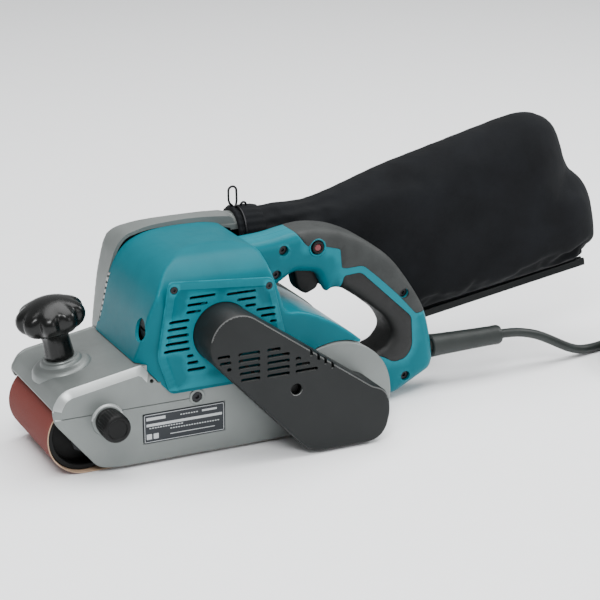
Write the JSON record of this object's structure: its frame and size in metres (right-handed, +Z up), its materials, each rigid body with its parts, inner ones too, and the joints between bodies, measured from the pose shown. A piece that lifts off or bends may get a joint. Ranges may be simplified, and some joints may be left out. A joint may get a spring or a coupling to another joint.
{
  "type": "belt sander",
  "caption": "Handheld belt sander with an in-line motor housing, front knob, closed rear handle, side belt-drive cover, cloth dust bag and mains lead.",
  "frame": {"origin": "centre of the sanding belt's flat working face", "axes": "+Z up from the sanded surface, +Y towards the handle and the dust bag, +X towards the drive cover on the machine's left-hand side"},
  "size_m": [0.192, 0.6825, 0.2265],
  "materials": {
    "teal_plastic": "satin gloss",
    "silver_casting": "painted silver casting, satin",
    "black_gloss": "gloss",
    "dark_plastic": "satin",
    "black_plastic": "matte",
    "grip_rubber": "soft matte",
    "grip_dark": "soft matte",
    "roller_rubber": "matte",
    "abrasive": "coated abrasive cloth",
    "steel": "machined",
    "copper": "turned",
    "bag_cloth": "woven",
    "plate": "printed foil",
    "cork": "cork and graphite",
    "cord_rubber": "matte",
    "red_plastic": "satin"
  },
  "bodies": {
    "machine": {"frame": "silver_casting", "name_plate": "plate", "sanding_belt": "abrasive", "shoe_plate": "steel", "cork_pad": "cork", "rear_bearing_inner": "steel", "rear_bearing_outer": "steel", "tension_spring": "steel", "lever_pin": "steel", "front_knob": "black_gloss", "knob_bolt": "steel", "motor_housing": "teal_plastic", "vent_cover": "teal_plastic", "panel_screw_1": "steel", "panel_screw_2": "steel", "stator": "steel", "armature_bearing_left": "steel", "armature_bearing_right": "steel", "brush_holder_front": "black_plastic", "brush_holder_rear": "black_plastic", "brush_cap": "black_plastic", "fan_housing": "silver_casting", "bearing_plate": "silver_casting", "drive_cover": "dark_plastic", "cover_screw": "steel", "drive_belt": "roller_rubber", "handle_left_shell": "teal_plastic", "handle_right_shell": "teal_plastic", "grip_top": "grip_rubber", "grip_inner": "grip_dark", "handle_screw_1": "steel", "handle_screw_2": "steel", "handle_screw_3": "steel", "handle_screw_4": "steel", "switch_body": "black_plastic", "cord_guard": "cord_rubber", "power_cord": "cord_rubber", "cord_coil": "cord_rubber", "mains_plug": "cord_rubber", "frame_screw": "steel"},
    "drive_roller": {"rear_roller": "steel", "roller_sleeve": "roller_rubber", "drive_shaft": "steel", "driven_pulley": "silver_casting"},
    "armature": {"armature_core": "steel", "armature_shaft": "steel", "commutator": "copper", "motor_pulley": "steel", "cooling_fan": "black_plastic", "dust_fan": "silver_casting"},
    "carrier": {"roller_carrier": "steel", "front_axle": "steel"},
    "front_roller": {"front_roller": "black_plastic"},
    "lever": {"tension_lever": "dark_plastic"},
    "tracking": {"tracking_knob": "black_plastic"},
    "trigger": {"trigger": "black_plastic"},
    "lock": {"lock_button": "red_plastic"},
    "bag_clamp": {"bag_clamp": "steel"},
    "bag": {"dust_bag": "bag_cloth"},
    "fastener": {"bag_fastener": "dark_plastic"}
  },
  "joints": [
    {"name": "drive_roller_spin", "type": "hinge", "parent": "machine", "child": "drive_roller", "pos_m": [0, 0.10302, 0.0315], "axis": [1, 0, 0], "continuous": true},
    {"name": "armature_spin", "type": "hinge", "parent": "machine", "child": "armature", "pos_m": [0, 0.012, 0.106], "axis": [1, 0, 0], "continuous": true},
    {"name": "tension_lever_swing", "type": "hinge", "parent": "machine", "child": "lever", "pos_m": [-0.041, -0.044, 0.028], "axis": [0, 0, 1], "range_deg": [0, 90]},
    {"name": "carrier_slide", "type": "slide", "parent": "machine", "child": "carrier", "axis": [0, 1, 0], "range_m": [0, 0.01], "deforming": ["tension_spring"]},
    {"name": "front_roller_spin", "type": "hinge", "parent": "carrier", "child": "front_roller", "pos_m": [0, -0.10302, 0.0315], "axis": [1, 0, 0], "continuous": true},
    {"name": "tracking_turn", "type": "hinge", "parent": "machine", "child": "tracking", "pos_m": [0.06, -0.086, 0.045], "axis": [1, 0, 0], "range_deg": [-360, 360]},
    {"name": "trigger_pull", "type": "hinge", "parent": "machine", "child": "trigger", "pos_m": [0, 0.1, 0.134], "axis": [1, 0, 0], "range_deg": [0, 10], "stiffness_Nm_per_rad": 0.6, "springref_deg": -11.46},
    {"name": "lock_press", "type": "slide", "parent": "machine", "child": "lock", "axis": [-1, 0, 0], "range_m": [0, 0.003], "stiffness_N_per_m": 300, "springref_m": -0.003},
    {"name": "clamp_turn", "type": "hinge", "parent": "machine", "child": "bag_clamp", "pos_m": [-0.06, 0.077, 0.1495], "axis": [0, 1, 0], "range_deg": [0, 30]},
    {"name": "bag_pull", "type": "slide", "parent": "bag_clamp", "child": "bag", "axis": [0, 1, 0], "range_m": [0, 0.05]},
    {"name": "fastener_pull", "type": "slide", "parent": "bag", "child": "fastener", "axis": [0, 0.9877, 0.1565], "range_m": [0, 0.19]}
  ],
  "couplings": [
    {"joint": "armature_spin", "follows": "drive_roller_spin", "ratio": 4},
    {"joint": "front_roller_spin", "follows": "drive_roller_spin", "ratio": 1},
    {"joint": "tension_lever_swing", "follows": "carrier_slide", "rad_per_m": 157}
  ]
}
